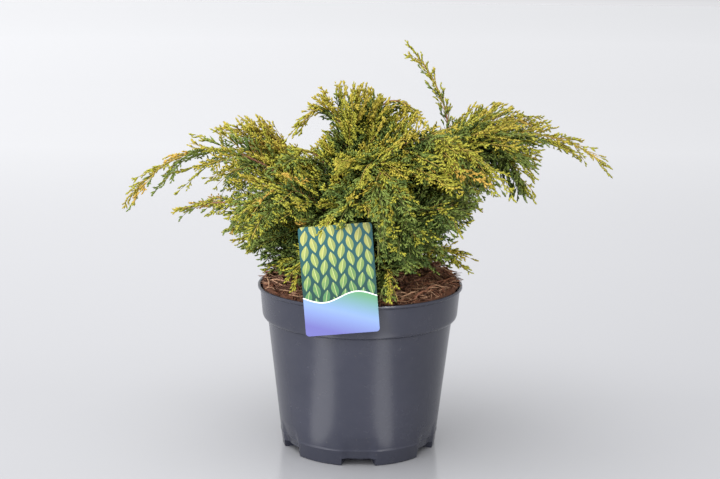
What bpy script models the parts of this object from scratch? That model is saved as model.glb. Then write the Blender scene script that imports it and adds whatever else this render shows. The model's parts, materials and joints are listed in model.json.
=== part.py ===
# A juniper with golden plumes, growing in a black nursery pot.
# Metres, +Z up. The origin is the centre of the circle on which the pot's feet stand.

import math
import random

import bmesh
import bpy
from mathutils import Matrix, Vector
from mathutils.bvhtree import BVHTree
from mathutils.kdtree import KDTree

# Space between pieces that touch on the real plant
CLEARANCE = 0.0003
FLAT_ANGLE = math.radians(0.3)
WELD = 1e-6

# Pot
POT_HEIGHT = 0.2365
RIM_RADIUS = 0.1467
LIP_HEIGHT = 0.0032
BAND_RADIUS = 0.1405
BAND_FLARE = 0.0025
BAND_UNDERSIDE = 0.1885
BODY_TOP_RADIUS = 0.1324
BASE_RADIUS = 0.1115
WALL = 0.0022
FLOOR_TOP = 0.0125
POT_STEPS = 48
FOOT_COUNT = 6
NOTCH_HALF_ANGLE = math.radians(12.2)
NOTCH_HEIGHT = 0.010
NOTCH_DEPTH = 0.028
NOTCH_SLOPE = 0.24
RECESS_TOP = 0.043
RECESS_DEPTH = 0.005

# Potting mix
MIX_STEPS = 24
MIX_EDGE = 0.2245
MIX_CROWN = 0.2275
TRUNK_PAD = 0.020
PAD_EDGE = 0.015
HUMP_HEIGHT = 0.013
HUMP_RADIUS = 0.115

# Trunk
TRUNK_TOP = 0.326
TRUNK_LEAN = Vector((-0.004, 0.003, 0.0))
TRUNK_BEVEL = 4
# Share of the trunk's height, radius there
TRUNK_TAPER = (
    (0.0, 0.0150), (0.04, 0.0132), (0.10, 0.0112), (0.20, 0.0100),
    (0.45, 0.0092), (0.70, 0.0084), (0.90, 0.0074), (1.0, 0.0050),
)

# Boughs
BOUGH_END = 0.22
BOUGH_POINTS = 4
BOUGH_BEVEL = 1
BOUGH_ROOT_RADIUS = 0.0030
BOUGH_TIP_RADIUS = 0.0020
ROOT_OFFSET = 0.005
JOINT_STEP = 0.01

# Foliage
STEM_END = 0.90
STEM_POINTS = 4
STEM_TIP_RADIUS = 0.0012
CORE_START = 0.25
CORE_END = 0.84
CORE_SHARE = 0.56
TUFT_SHARE = (0.75, 1.0)
VALLEY_SHARE = (0.45, 0.65)
TUFT_SWEEP = (0.003, 0.016)
ROOM_STEPS = 10
TWIG_RADIUS = 0.0014
TWIG_TAPER = 0.75
TWIG_SHARE = 0.30
TWIG_TURNS = (-20, 200, -90, 90, 165, 15, -135, -50, 50, 250, 130)
TWIG_OPENING = (28, 48)
TWIG_START = 0.30
TWIG_REACH = 1.10
TWIG_REACH_FALL = 0.35
TWIG_WANDER = 15
UPWARD_SIDE = 0.2
UPWARD_SHARE = 0.50
SPRAY_WIDTH = 0.52
SPRAY_THICKNESS = 0.014
SPRAY_ROOT = 0.06
SPRAY_NOD = 0.18
SPRAY_ROLL = 0.9
TOOTH_PLACES = (0.40, 0.69)
TOOTH_EDGE = 0.02
TOOTH_TAPER = 0.36
TOOTH_NOTCH = 0.40
NEIGHBOUR_MARGIN = 0.0008
LIMB_MARGIN = 0.004
TRIES = 14
SHRINK = 0.94

# Name, root height on the trunk, a point half-way along, tip, reach of the side sprays, their number
PLUMES = (
    ("left_skirt", 0.243, (-0.090, 0.010, 0.292), (-0.155, 0.010, 0.300), 0.060, 3),
    ("right_low", 0.243, (0.085, -0.030, 0.288), (0.138, -0.055, 0.288), 0.055, 3),
    ("front_low_right", 0.243, (0.028, -0.085, 0.285), (0.040, -0.145, 0.262), 0.075, 3),
    ("front_low_left", 0.245, (-0.055, -0.082, 0.295), (-0.088, -0.140, 0.262), 0.060, 3),
    ("back_low", 0.243, (-0.050, 0.095, 0.305), (-0.085, 0.165, 0.285), 0.070, 3),
    ("back_low_right", 0.244, (0.066, 0.090, 0.302), (0.118, 0.145, 0.280), 0.070, 3),
    ("left_low", 0.260, (-0.135, -0.045, 0.350), (-0.259, -0.040, 0.343), 0.070, 3),
    ("right_mid", 0.259, (0.100, -0.050, 0.350), (0.172, -0.062, 0.348), 0.065, 3),
    ("back_right", 0.260, (0.095, 0.095, 0.385), (0.180, 0.175, 0.350), 0.080, 3),
    ("back_left", 0.262, (-0.110, 0.090, 0.400), (-0.200, 0.160, 0.365), 0.080, 3),
    ("front_mid", 0.262, (-0.010, -0.080, 0.358), (-0.002, -0.138, 0.362), 0.080, 3),
    ("left_long", 0.273, (-0.185, -0.005, 0.424), (-0.342, -0.020, 0.339), 0.080, 4),
    ("right_long", 0.275, (0.185, 0.012, 0.440), (0.350, 0.000, 0.406), 0.080, 4),
    ("front_left", 0.281, (-0.085, -0.085, 0.380), (-0.150, -0.130, 0.355), 0.075, 3),
    ("front_right", 0.272, (0.082, -0.098, 0.360), (0.130, -0.145, 0.335), 0.070, 3),
    ("back", 0.279, (0.000, 0.110, 0.425), (0.010, 0.220, 0.365), 0.080, 3),
    ("left_high", 0.294, (-0.095, 0.030, 0.410), (-0.155, 0.030, 0.462), 0.070, 3),
    ("right_back", 0.289, (0.145, 0.078, 0.435), (0.265, 0.085, 0.467), 0.070, 3),
    ("right_high", 0.291, (0.142, -0.028, 0.452), (0.231, -0.045, 0.360), 0.080, 3),
    ("centre_left", 0.299, (-0.045, -0.035, 0.405), (-0.085, -0.055, 0.430), 0.065, 3),
    ("front_nod", 0.296, (0.012, -0.085, 0.420), (0.040, -0.150, 0.361), 0.075, 3),
    ("sweep_right", 0.312, (0.058, -0.070, 0.445), (0.177, -0.105, 0.412), 0.075, 3),
    ("spike", 0.311, (0.122, 0.042, 0.430), (0.057, 0.050, 0.583), 0.045, 3),
    ("front_inner", 0.284, (0.042, -0.082, 0.342), (0.075, -0.138, 0.325), 0.080, 3),
    ("right_inner", 0.266, (0.085, 0.030, 0.345), (0.150, 0.050, 0.325), 0.070, 3),
    ("left_inner", 0.2525, (-0.085, 0.040, 0.345), (-0.150, 0.070, 0.325), 0.070, 3),
    ("mid_left", 0.313, (-0.034, -0.008, 0.474), (-0.095, -0.015, 0.452), 0.070, 3),
    ("top", 0.317, (0.022, 0.040, 0.478), (0.088, 0.030, 0.468), 0.070, 3),
)

# Plant label
CARD_WIDTH = 0.098
CARD_HEIGHT = 0.145
CARD_THICKNESS = 0.0008
CARD_CORNER = 0.006
CARD_TURN = math.radians(5.0)
CARD_LEAN = math.radians(8.0)
CARD_BOTTOM = Vector((-0.022, -0.1525, 0.2010))
STRAP_RADIUS = 0.0009
STRAP_BOUGH = "front_left"
STRAP_PLACE = 0.14


def clear_scene():
    for obj in list(bpy.data.objects):
        bpy.data.objects.remove(obj, do_unlink=True)


def material(name, colour, roughness):
    made = bpy.data.materials.new(name)
    made.use_nodes = True
    shader = made.node_tree.nodes["Principled BSDF"]
    shader.inputs["Base Color"].default_value = (*colour, 1.0)
    shader.inputs["Roughness"].default_value = roughness
    return made


def add_object(name, data, collection, finish=None):
    obj = bpy.data.objects.new(name, data)
    collection.objects.link(obj)
    if finish:
        data.materials.append(finish)
    return obj


def evaluated_mesh(obj):
    bpy.context.view_layer.update()
    graph = bpy.context.evaluated_depsgraph_get()
    return bpy.data.meshes.new_from_object(obj.evaluated_get(graph))


def mesh_from(name, data, modifier=None):
    """The triangle mesh of a curve, or of a profile with a modifier, with loose caps welded."""
    obj = add_object(name, data, bpy.context.scene.collection)
    if modifier:
        modifier(obj)
    mesh = evaluated_mesh(obj)
    bpy.data.objects.remove(obj, do_unlink=True)
    bm = bmesh.new()
    bm.from_mesh(mesh)
    bmesh.ops.remove_doubles(bm, verts=bm.verts, dist=WELD)
    bmesh.ops.triangulate(bm, faces=bm.faces)
    bmesh.ops.recalc_face_normals(bm, faces=bm.faces)
    bm.to_mesh(mesh)
    bm.free()
    return mesh


def is_sound(mesh):
    """Whether the mesh stays closed, with two faces at each edge, once near points are welded."""
    bm = bmesh.new()
    bm.from_mesh(mesh)
    bmesh.ops.remove_doubles(bm, verts=bm.verts, dist=WELD)
    sound = all(len(edge.link_faces) == 2 for edge in bm.edges)
    bm.free()
    return sound


def cuts_itself(mesh):
    """Whether two faces that share no corner cross each other."""
    faces = [tuple(face.vertices) for face in mesh.polygons]
    tree = BVHTree.FromPolygons([vertex.co for vertex in mesh.vertices], faces)
    return any(not set(faces[a]) & set(faces[b]) for a, b in tree.overlap(tree))


def drop_scraps(bm):
    """Keeps the largest connected piece, where a Boolean has left loose ones."""
    left = set(bm.verts)
    pieces = []
    while left:
        piece = {left.pop()}
        front = list(piece)
        while front:
            for edge in front.pop().link_edges:
                for vertex in edge.verts:
                    if vertex not in piece:
                        piece.add(vertex)
                        front.append(vertex)
        left -= piece
        pieces.append(piece)
    pieces.sort(key=len)
    for piece in pieces[:-1]:
        bmesh.ops.delete(bm, geom=list(piece), context="VERTS")


def tidy_boolean(mesh):
    """Drops scraps, and merges the slivers that a Boolean leaves on flat faces."""
    bm = bmesh.new()
    bm.from_mesh(mesh)
    drop_scraps(bm)
    bm.to_mesh(mesh)
    bmesh.ops.dissolve_limit(bm, angle_limit=FLAT_ANGLE, verts=bm.verts, edges=bm.edges)
    bmesh.ops.triangulate(bm, faces=bm.faces)
    merged = bpy.data.meshes.new(mesh.name)
    bm.to_mesh(merged)
    bm.free()
    return merged if is_sound(merged) else mesh


def boolean(obj, operation, others, solver="EXACT"):
    """Cuts the meshes others from obj, or joins them to it, in one step."""
    group = bpy.data.collections.new("operands")
    bpy.context.scene.collection.children.link(group)
    for mesh in others:
        add_object("operand", mesh, group)
    step = obj.modifiers.new("step", "BOOLEAN")
    step.operation = operation
    step.operand_type = "COLLECTION"
    step.collection = group
    step.solver = solver
    made = tidy_boolean(evaluated_mesh(obj))
    made.materials.clear()
    for finish in obj.data.materials:
        made.materials.append(finish)
    made.polygons.foreach_set("material_index", [0] * len(made.polygons))
    obj.modifiers.clear()
    for other in list(group.objects):
        bpy.data.objects.remove(other, do_unlink=True)
    bpy.data.collections.remove(group)
    return made


def spaced(start, end, count):
    return [start + (end - start) * i / (count - 1) for i in range(count)]


def turned_mesh(name, profile, steps):
    """A solid of revolution about Z, from a profile that starts and ends on the axis."""
    points = [(radius, 0.0, height) for radius, height in profile]
    mesh = bpy.data.meshes.new(name)
    mesh.from_pydata(points, [(i, i + 1) for i in range(len(points) - 1)], [])

    def turn(obj):
        screw = obj.modifiers.new("turn", "SCREW")
        screw.steps = steps
        screw.render_steps = steps
        screw.use_merge_vertices = True
        screw.merge_threshold = 1e-5

    return mesh_from(name, mesh, turn)


def limb_mesh(name, points, radii, bevel):
    """A tapering round limb along points, closed at both ends."""
    curve = bpy.data.curves.new(name, "CURVE")
    curve.dimensions = "3D"
    curve.bevel_depth = 1.0
    curve.bevel_resolution = bevel
    curve.use_fill_caps = True
    spline = curve.splines.new("POLY")
    spline.points.add(len(points) - 1)
    for point, place, radius in zip(spline.points, points, radii):
        point.co = (*place, 1.0)
        point.radius = radius
    return mesh_from(name, curve)


def plate_mesh(name, outline, thickness):
    """A flat plate in XY, centred on z = 0, with the outline given as (x, y) corners."""
    curve = bpy.data.curves.new(name, "CURVE")
    curve.dimensions = "2D"
    curve.fill_mode = "BOTH"
    curve.extrude = thickness / 2
    spline = curve.splines.new("POLY")
    spline.points.add(len(outline) - 1)
    for point, (x, y) in zip(spline.points, outline):
        point.co = (x, y, 0.0, 1.0)
    spline.use_cyclic_u = True
    return mesh_from(name, curve)


def arc(radius, start, end, count, centre=(0.0, 0.0)):
    return [
        (centre[0] + radius * math.cos(angle), centre[1] + radius * math.sin(angle))
        for angle in spaced(start, end, count)
    ]


# Pot

def body_radius(height):
    """Outer radius of the pot's tapering body."""
    return BASE_RADIUS + (BODY_TOP_RADIUS - BASE_RADIUS) * height / BAND_UNDERSIDE


def pot_inner_profile():
    return [
        (0.0, FLOOR_TOP),
        (body_radius(NOTCH_HEIGHT) - RECESS_DEPTH - WALL, FLOOR_TOP),
        (body_radius(RECESS_TOP + 0.003) - WALL, RECESS_TOP + 0.003),
        (BODY_TOP_RADIUS - WALL, BAND_UNDERSIDE + 0.0015),
        (BAND_RADIUS - WALL, BAND_UNDERSIDE + 0.0095),
        (BAND_RADIUS + BAND_FLARE - WALL, POT_HEIGHT - 0.008),
        (RIM_RADIUS - 0.0035, POT_HEIGHT - 0.0005),
    ]


def pot_outer_profile():
    return [
        (RIM_RADIUS - 0.0006, POT_HEIGHT),
        (RIM_RADIUS, POT_HEIGHT - 0.0007),
        (RIM_RADIUS, POT_HEIGHT - LIP_HEIGHT),
        (BAND_RADIUS + BAND_FLARE, POT_HEIGHT - 0.007),
        (BAND_RADIUS, BAND_UNDERSIDE + 0.0095),
        (BAND_RADIUS - 0.0018, BAND_UNDERSIDE + 0.0030),
        (BAND_RADIUS - 0.0045, BAND_UNDERSIDE),
        (BODY_TOP_RADIUS, BAND_UNDERSIDE - 0.0010),
        (body_radius(0.0225), 0.0225),
        (body_radius(0.0215) + 0.0005, 0.0215),
        (BASE_RADIUS, 0.0015),
        (BASE_RADIUS - 0.0015, 0.0),
        (0.0, 0.0),
    ]


def recess_mesh():
    """Cuts the wall back above a notch: nothing at its top, most just over the notch."""
    outer = BASE_RADIUS + 0.02
    top_inner = body_radius(RECESS_TOP) + 0.0004
    foot_inner = body_radius(NOTCH_HEIGHT) - RECESS_DEPTH
    half = NOTCH_HALF_ANGLE
    outline = arc(top_inner, -half, half, 5) + arc(outer, half, -half, 5)
    height = RECESS_TOP - NOTCH_HEIGHT + 0.002
    mesh = plate_mesh("recess", outline, height)
    for vertex in mesh.vertices:
        if vertex.co.z < 0 and vertex.co.xy.length < (top_inner + outer) / 2:
            vertex.co.xy *= foot_inner / vertex.co.xy.length
    mesh.transform(Matrix.Translation((0.0, 0.0, RECESS_TOP - height / 2)))
    return mesh


def notch_mesh():
    """The drainage opening between two feet, wider at the ground."""
    half = BASE_RADIUS * math.sin(NOTCH_HALF_ANGLE)
    below = -0.004
    wide = half + NOTCH_SLOPE * (NOTCH_HEIGHT - below)
    outline = [(wide, below), (half, NOTCH_HEIGHT), (-half, NOTCH_HEIGHT), (-wide, below)]
    length = NOTCH_DEPTH + 0.02
    mesh = plate_mesh("notch", outline, length)
    along_radius = Matrix(((0, 0, 1), (1, 0, 0), (0, 1, 0))).to_4x4()
    mesh.transform(Matrix.Translation((BASE_RADIUS + 0.02 - length / 2, 0.0, 0.0)) @ along_radius)
    return mesh


def make_pot(parts):
    mesh = turned_mesh("pot", pot_inner_profile() + pot_outer_profile(), POT_STEPS)
    pot = add_object("pot", mesh, parts, material("pot_plastic", (0.035, 0.036, 0.042), 0.38))
    cuts = []
    for index in range(FOOT_COUNT):
        for cut in (recess_mesh(), notch_mesh()):
            cut.transform(Matrix.Rotation(-math.pi / 2 + index * math.tau / FOOT_COUNT, 4, "Z"))
            cuts.append(cut)
    pot.data = boolean(pot, "DIFFERENCE", cuts)
    return pot


# Potting mix

def heap(x, y):
    """Height of the mix: higher at the back and the sides, lumpy, flat under the trunk."""
    radius = math.hypot(x, y)
    rise = 0.5 + 0.5 * math.sin(math.atan2(y, abs(x)))
    hump = HUMP_HEIGHT * rise * math.sin(min(1.0, radius / HUMP_RADIUS) * math.pi / 2)
    lumps = 0.0022 * math.sin(70 * x + 1.3) * math.cos(63 * y - 0.7)
    lumps += 0.0014 * math.sin(131 * x - 95 * y)
    level = min(1.0, max(0.0, (radius - TRUNK_PAD) / PAD_EDGE))
    return MIX_CROWN + (hump + lumps) * level


def make_mix(parts):
    inner = pot_inner_profile()
    side = [(radius - 2 * CLEARANCE, height) for radius, height in inner[2:5]]
    floor_corner = (inner[1][0] - 0.0016, FLOOR_TOP + CLEARANCE)
    top = [(radius, MIX_CROWN) for radius in (0.0, TRUNK_PAD, 0.040, 0.062, 0.086, 0.108, 0.128)]
    edge = (inner[5][0] - 0.0012, MIX_EDGE)
    profile = [*top, edge, *side[::-1], floor_corner, (0.0, FLOOR_TOP + CLEARANCE)]
    mesh = turned_mesh("potting_mix", profile, MIX_STEPS)
    for vertex in mesh.vertices:
        if abs(vertex.co.z - MIX_CROWN) < 1e-6:
            vertex.co.z = heap(vertex.co.x, vertex.co.y)
    return add_object("potting_mix", mesh, parts, material("potting_mix", (0.12, 0.045, 0.022), 0.95))


# Trunk and boughs

def trunk_axis(height):
    share = (height - MIX_CROWN) / (TRUNK_TOP - MIX_CROWN)
    return Vector((0.0, 0.0, height)) + TRUNK_LEAN * share * share


def trunk_mesh(name, swell):
    foot = MIX_CROWN + CLEARANCE
    points = [trunk_axis(foot + (TRUNK_TOP - foot) * share) for share, _ in TRUNK_TAPER]
    points[1].xy = points[0].xy
    return limb_mesh(name, points, [radius + swell for _, radius in TRUNK_TAPER], TRUNK_BEVEL)


def plume_path(plume, t):
    """A point on the arch from the trunk through the half-way point to the tip."""
    _, root, middle, tip, _, _ = plume
    outward = Vector((middle[0], middle[1], 0.0)).normalized()
    start = trunk_axis(root) + outward * ROOT_OFFSET
    end = Vector(tip)
    pull = 2 * Vector(middle) - (start + end) / 2
    return start * (1 - t) ** 2 + pull * 2 * t * (1 - t) + end * t * t


def plume_heading(plume, t):
    return (plume_path(plume, t + 0.01) - plume_path(plume, t - 0.01)).normalized()


def plume_side(plume):
    """The direction across the plane in which the arch lies."""
    start, middle, end = (plume_path(plume, t) for t in (0.0, 0.5, 1.0))
    return (middle - start).cross(end - start).normalized()


def make_bough(plume, parts, bark):
    """One limb from the trunk's side to where it enters its mass."""
    name = f"bough_{plume[0]}"
    steps = [*spaced(0.0, BOUGH_END - JOINT_STEP, BOUGH_POINTS), BOUGH_END]
    points = [plume_path(plume, t) for t in steps]
    radii = spaced(BOUGH_ROOT_RADIUS, BOUGH_TIP_RADIUS, BOUGH_POINTS) + [BOUGH_TIP_RADIUS]
    bough = add_object(name, limb_mesh(name, points, radii, BOUGH_BEVEL), parts, bark)
    bough.data = boolean(bough, "DIFFERENCE", [trunk_mesh("trunk_seat", CLEARANCE)])
    return bough


# Foliage

def spray_template():
    """A spray one unit long, with a tooth on each side that points forward."""
    sides = []
    for place, side in ((TOOTH_PLACES[0], -1), (TOOTH_PLACES[1], 1)):
        half = side * SPRAY_WIDTH / 2 * (1.0 - TOOTH_TAPER * place)
        sides.append([(place, half), (place + TOOTH_EDGE, half * TOOTH_NOTCH)])
    right, left = sides
    return plate_mesh("spray", [(-SPRAY_ROOT, 0.0), *right, (1.0, 0.0), *left[::-1]], SPRAY_THICKNESS)


def twig_template():
    """A three-sided tapering twig one unit long, along +X."""
    bm = bmesh.new()
    bmesh.ops.create_cone(bm, cap_ends=True, segments=3, radius1=1.0, radius2=TWIG_TAPER, depth=1.0)
    mesh = bpy.data.meshes.new("twig")
    bm.to_mesh(mesh)
    bm.free()
    mesh.transform(Matrix.Rotation(math.pi / 2, 4, "Y") @ Matrix.Translation((0.0, 0.0, 0.5)))
    return mesh


def facing(heading):
    """A rotation whose X follows heading and whose Z is as near to up as it can be."""
    up = Vector((0.0, 0.0, 1.0))
    if abs(heading.dot(up)) > 0.97:
        up = Vector((0.0, 1.0, 0.0))
    across = up.cross(heading).normalized()
    return Matrix((heading, across, heading.cross(across))).transposed().to_4x4()


def solid_tree(mesh, swell=0.0):
    bm = bmesh.new()
    bm.from_mesh(mesh)
    for vertex in bm.verts:
        vertex.co += vertex.normal * swell
    tree = BVHTree.FromBMesh(bm)
    bm.free()
    return tree


def point_tree(points):
    tree = KDTree(len(points))
    for index, point in enumerate(points):
        tree.insert(point, index)
    tree.balance()
    return tree


class Space:
    """Where each plume may grow: nearer to its own arch than to another, and clear of the solids."""

    def __init__(self):
        arches = [[plume_path(plume, t) for t in spaced(0.03, 1.0, 50)] for plume in PLUMES]
        self.own = [point_tree(arch) for arch in arches]
        self.others = []
        for index in range(len(PLUMES)):
            rest = arches[:index] + arches[index + 1:]
            self.others.append(point_tree([point for arch in rest for point in arch]))
        self.solids = []

    def room(self, index, point, way, limit):
        """How far along way from a point of the plume's own arch the plume may reach, up to limit."""
        for step in range(1, ROOM_STEPS + 1):
            if not self.holds(index, point + way * limit * step / ROOM_STEPS):
                return limit * (step - 1) / ROOM_STEPS
        return limit

    def holds(self, index, point):
        own = self.own[index].find(point)[2]
        other = self.others[index].find(point)[2]
        return other > max(own + NEIGHBOUR_MARGIN, LIMB_MARGIN)

    def free(self, index, mesh):
        """Whether mesh keeps to the plume's space and cuts none of the solids made so far."""
        if not all(self.holds(index, vertex.co) for vertex in mesh.vertices):
            return False
        tree = solid_tree(mesh, 2 * CLEARANCE)
        return not any(tree.overlap(solid) for solid in self.solids)


class Mass:
    """The foliage of one plume: a stem, twigs that branch from it, and sprays on the twigs."""

    def __init__(self, index, space, twig, spray):
        self.index = index
        self.plume = PLUMES[index]
        self.space = space
        self.twig_shape = twig
        self.spray_shape = spray
        self.rng = random.Random(100 + index)
        self.pieces = []

    def keep(self, mesh):
        if self.space.free(self.index, mesh):
            self.pieces.append(mesh)
            return True
        bpy.data.meshes.remove(mesh)
        return False

    def spray(self, root, heading, length):
        for _ in range(TRIES):
            roll = self.rng.uniform(-SPRAY_ROLL, SPRAY_ROLL)
            mesh = self.spray_shape.copy()
            nodding = (heading - Vector((0.0, 0.0, SPRAY_NOD))).normalized()
            turn = facing(nodding) @ Matrix.Rotation(roll, 4, "X") @ Matrix.Scale(length, 4)
            mesh.transform(Matrix.Translation(root) @ turn)
            if self.keep(mesh):
                return
            length *= SHRINK

    def twig(self, number):
        """A side twig with a spray at its end."""
        reach, count = self.plume[4:]
        share = (number + 0.5) / count
        t = TWIG_START + (STEM_END - TWIG_START) * share
        root = plume_path(self.plume, t)
        heading = plume_heading(self.plume, t)
        for attempt in range(TRIES):
            turn = math.radians(TWIG_TURNS[(number + attempt) % len(TWIG_TURNS)] + self.rng.uniform(-TWIG_WANDER, TWIG_WANDER))
            opening = math.radians(self.rng.uniform(*TWIG_OPENING))
            side = facing(heading) @ Matrix.Rotation(turn, 4, "X") @ Vector((0.0, 1.0, 0.0))
            way = heading * math.cos(opening) + side * math.sin(opening)
            length = reach * (TWIG_REACH - TWIG_REACH_FALL * share)
            if side.z > UPWARD_SIDE:
                length *= UPWARD_SHARE
            mesh = self.twig_shape.copy()
            thick = Matrix.Diagonal((length * TWIG_SHARE, TWIG_RADIUS, TWIG_RADIUS, 1.0))
            mesh.transform(Matrix.Translation(root) @ facing(way) @ thick)
            if self.keep(mesh):
                self.spray(root + way * length * TWIG_SHARE, way, length)
                return

    def core(self):
        """The dense inside of the mass: a spindle along the stem, with pointed tufts that lean forward."""
        bm = bmesh.new()
        bmesh.ops.create_icosphere(bm, subdivisions=2, radius=1.0)
        tufts = set(bmesh.ops.poke(bm, faces=bm.faces)["verts"])
        side = plume_side(self.plume)
        centres = []
        for vertex in bm.verts:
            along, across, normal = vertex.co.normalized()
            t = (CORE_START + CORE_END) / 2 + along * (CORE_END - CORE_START) / 2
            place = plume_path(self.plume, t)
            heading = plume_heading(self.plume, t)
            offset = side * across + heading.cross(side) * normal
            limit = self.plume[4] * CORE_SHARE * math.sqrt(offset.length)
            way = offset.normalized()
            reach = self.space.room(self.index, place, way, limit)
            vertex.co = place + way * reach * self.rng.uniform(*VALLEY_SHARE)
            if vertex in tufts:
                forward = heading * self.rng.uniform(*TUFT_SWEEP)
                vertex.co = place + way * reach * self.rng.uniform(*TUFT_SHARE) + forward
            centres.append(place)
        mesh = bpy.data.meshes.new("core")
        bm.to_mesh(mesh)
        bm.free()
        for _ in range(TRIES):
            if not cuts_itself(mesh) and self.space.free(self.index, mesh):
                break
            for vertex, centre in zip(mesh.vertices, centres):
                vertex.co = centre.lerp(vertex.co, SHRINK)
        else:
            print("core still cuts something:", self.plume[0])
        return mesh

    def grow(self, parts, finish):
        step = plume_path(self.plume, BOUGH_END + JOINT_STEP) - plume_path(self.plume, BOUGH_END)
        start = BOUGH_END + JOINT_STEP * CLEARANCE / step.length
        name = f"foliage_{self.plume[0]}"
        steps = [start, *spaced(start + JOINT_STEP, STEM_END, STEM_POINTS)]
        radii = [BOUGH_TIP_RADIUS, *spaced(BOUGH_TIP_RADIUS, STEM_TIP_RADIUS, STEM_POINTS)]
        stem = limb_mesh(name, [plume_path(self.plume, t) for t in steps], radii, 0)
        self.pieces.append(self.core())
        end = plume_path(self.plume, STEM_END)
        tip = Vector(self.plume[3])
        self.spray(end, (tip - end).normalized(), (tip - end).length)
        for number in range(self.plume[5]):
            self.twig(number)
        mass = add_object(name, stem, parts, finish)
        joined = boolean(mass, "UNION", self.pieces, "MANIFOLD")
        while not is_sound(joined):
            self.pieces.pop()
            joined = boolean(mass, "UNION", self.pieces, "MANIFOLD")
        mass.data = joined
        self.space.solids.append(solid_tree(joined))


# Label

def card_mesh():
    half = CARD_WIDTH / 2 - CARD_CORNER
    top = CARD_HEIGHT - CARD_CORNER
    outline = []
    for number, centre in enumerate(((half, top), (-half, top), (-half, CARD_CORNER), (half, CARD_CORNER))):
        outline += arc(CARD_CORNER, number * math.pi / 2, (number + 1) * math.pi / 2, 4, centre)
    return plate_mesh("label", outline, CARD_THICKNESS)


def ring_mesh(place, heading, inner):
    """A strap's loop round a limb."""
    bpy.ops.mesh.primitive_torus_add(
        major_radius=inner + STRAP_RADIUS, minor_radius=STRAP_RADIUS, major_segments=12, minor_segments=4
    )
    ring = bpy.context.object
    mesh = ring.data
    bpy.data.objects.remove(ring, do_unlink=True)
    mesh.transform(Matrix.Translation(place) @ facing(heading) @ Matrix.Rotation(math.pi / 2, 4, "Y"))
    return mesh


def make_label(parts):
    """A card in front of the rim, hung by its strap from a bough."""
    stand = Matrix.Rotation(math.pi / 2 - CARD_LEAN, 4, "X") @ Matrix.Rotation(CARD_TURN, 4, "Z")
    place = Matrix.Translation(CARD_BOTTOM) @ stand
    card = card_mesh()
    card.transform(place)
    label = add_object("label", card, parts, material("label_card", (0.35, 0.45, 0.30), 0.3))
    plume = next(plume for plume in PLUMES if plume[0] == STRAP_BOUGH)
    bough = plume_path(plume, STRAP_PLACE)
    inner = BOUGH_ROOT_RADIUS + 2 * CLEARANCE
    low = place @ Vector((0.0, CARD_HEIGHT - 0.004, 0.0))
    high = place @ Vector((0.0, CARD_HEIGHT + 0.006, 0.0))
    hang = bough - Vector((0.0, 0.0, inner + STRAP_RADIUS))
    strap = limb_mesh("strap", [low, high, hang], [STRAP_RADIUS] * 3, 0)
    ring = ring_mesh(bough, plume_heading(plume, STRAP_PLACE), inner)
    label.data = boolean(label, "UNION", [strap, ring])
    return label


def main():
    clear_scene()
    parts = bpy.data.collections.new("potted_juniper")
    bpy.context.scene.collection.children.link(parts)
    bark = material("bark", (0.16, 0.09, 0.055), 0.9)
    green = material("foliage", (0.25, 0.30, 0.04), 0.7)
    solids = [make_pot(parts), make_mix(parts), make_label(parts)]
    solids.append(add_object("trunk", trunk_mesh("trunk", 0.0), parts, bark))
    solids += [make_bough(plume, parts, bark) for plume in PLUMES]
    space = Space()
    space.solids = [solid_tree(solid.data) for solid in solids]
    twig = twig_template()
    spray = spray_template()
    for index in range(len(PLUMES)):
        Mass(index, space, twig, spray).grow(parts, green)


main()
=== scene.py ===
# %% [markdown]
# # A potted juniper with golden plumes
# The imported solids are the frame. This script dresses them: a fine moulded pot, a bed of bark and
# fibre, a stem and boughs with bark, some twenty thousand sprigs of scale leaves, and a printed label.
# Each plume follows the same arch as its solid, so the fine foliage fills the same space.

# %% Frame
import json
import math

import bmesh
import bpy
import numpy as np
from mathutils import Matrix, Vector

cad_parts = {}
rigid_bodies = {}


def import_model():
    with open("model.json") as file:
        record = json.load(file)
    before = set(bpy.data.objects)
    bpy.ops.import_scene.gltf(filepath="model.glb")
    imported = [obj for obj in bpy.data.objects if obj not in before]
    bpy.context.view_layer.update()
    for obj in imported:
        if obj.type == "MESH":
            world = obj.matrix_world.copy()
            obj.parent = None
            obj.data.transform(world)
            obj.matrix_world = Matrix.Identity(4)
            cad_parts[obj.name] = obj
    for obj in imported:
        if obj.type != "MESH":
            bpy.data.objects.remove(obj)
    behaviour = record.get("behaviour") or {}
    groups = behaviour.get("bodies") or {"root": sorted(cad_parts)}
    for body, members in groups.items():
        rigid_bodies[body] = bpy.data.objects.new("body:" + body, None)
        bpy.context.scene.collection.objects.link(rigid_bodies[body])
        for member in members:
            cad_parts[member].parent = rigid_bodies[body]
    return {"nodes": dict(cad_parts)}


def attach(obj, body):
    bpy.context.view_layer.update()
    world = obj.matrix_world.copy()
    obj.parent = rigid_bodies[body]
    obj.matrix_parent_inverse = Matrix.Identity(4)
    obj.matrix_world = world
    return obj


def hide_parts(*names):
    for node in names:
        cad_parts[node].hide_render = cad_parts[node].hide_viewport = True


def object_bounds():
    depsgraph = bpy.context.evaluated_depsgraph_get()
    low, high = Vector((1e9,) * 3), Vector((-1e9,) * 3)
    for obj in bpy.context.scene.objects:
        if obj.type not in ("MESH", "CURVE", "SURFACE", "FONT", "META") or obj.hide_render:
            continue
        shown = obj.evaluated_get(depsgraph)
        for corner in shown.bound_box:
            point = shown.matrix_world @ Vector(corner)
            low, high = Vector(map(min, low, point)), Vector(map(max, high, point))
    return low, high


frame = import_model()
cad_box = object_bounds()
rng = np.random.default_rng(7)
print("nodes in the frame:", len(frame["nodes"]))

# %% [markdown]
# ## Driving sizes
# These are the real sizes of the pot, the mix and the plumes, in metres. The table of plumes gives,
# for each arch, its root height, a point half-way, its tip and the reach of its side branches.

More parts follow.
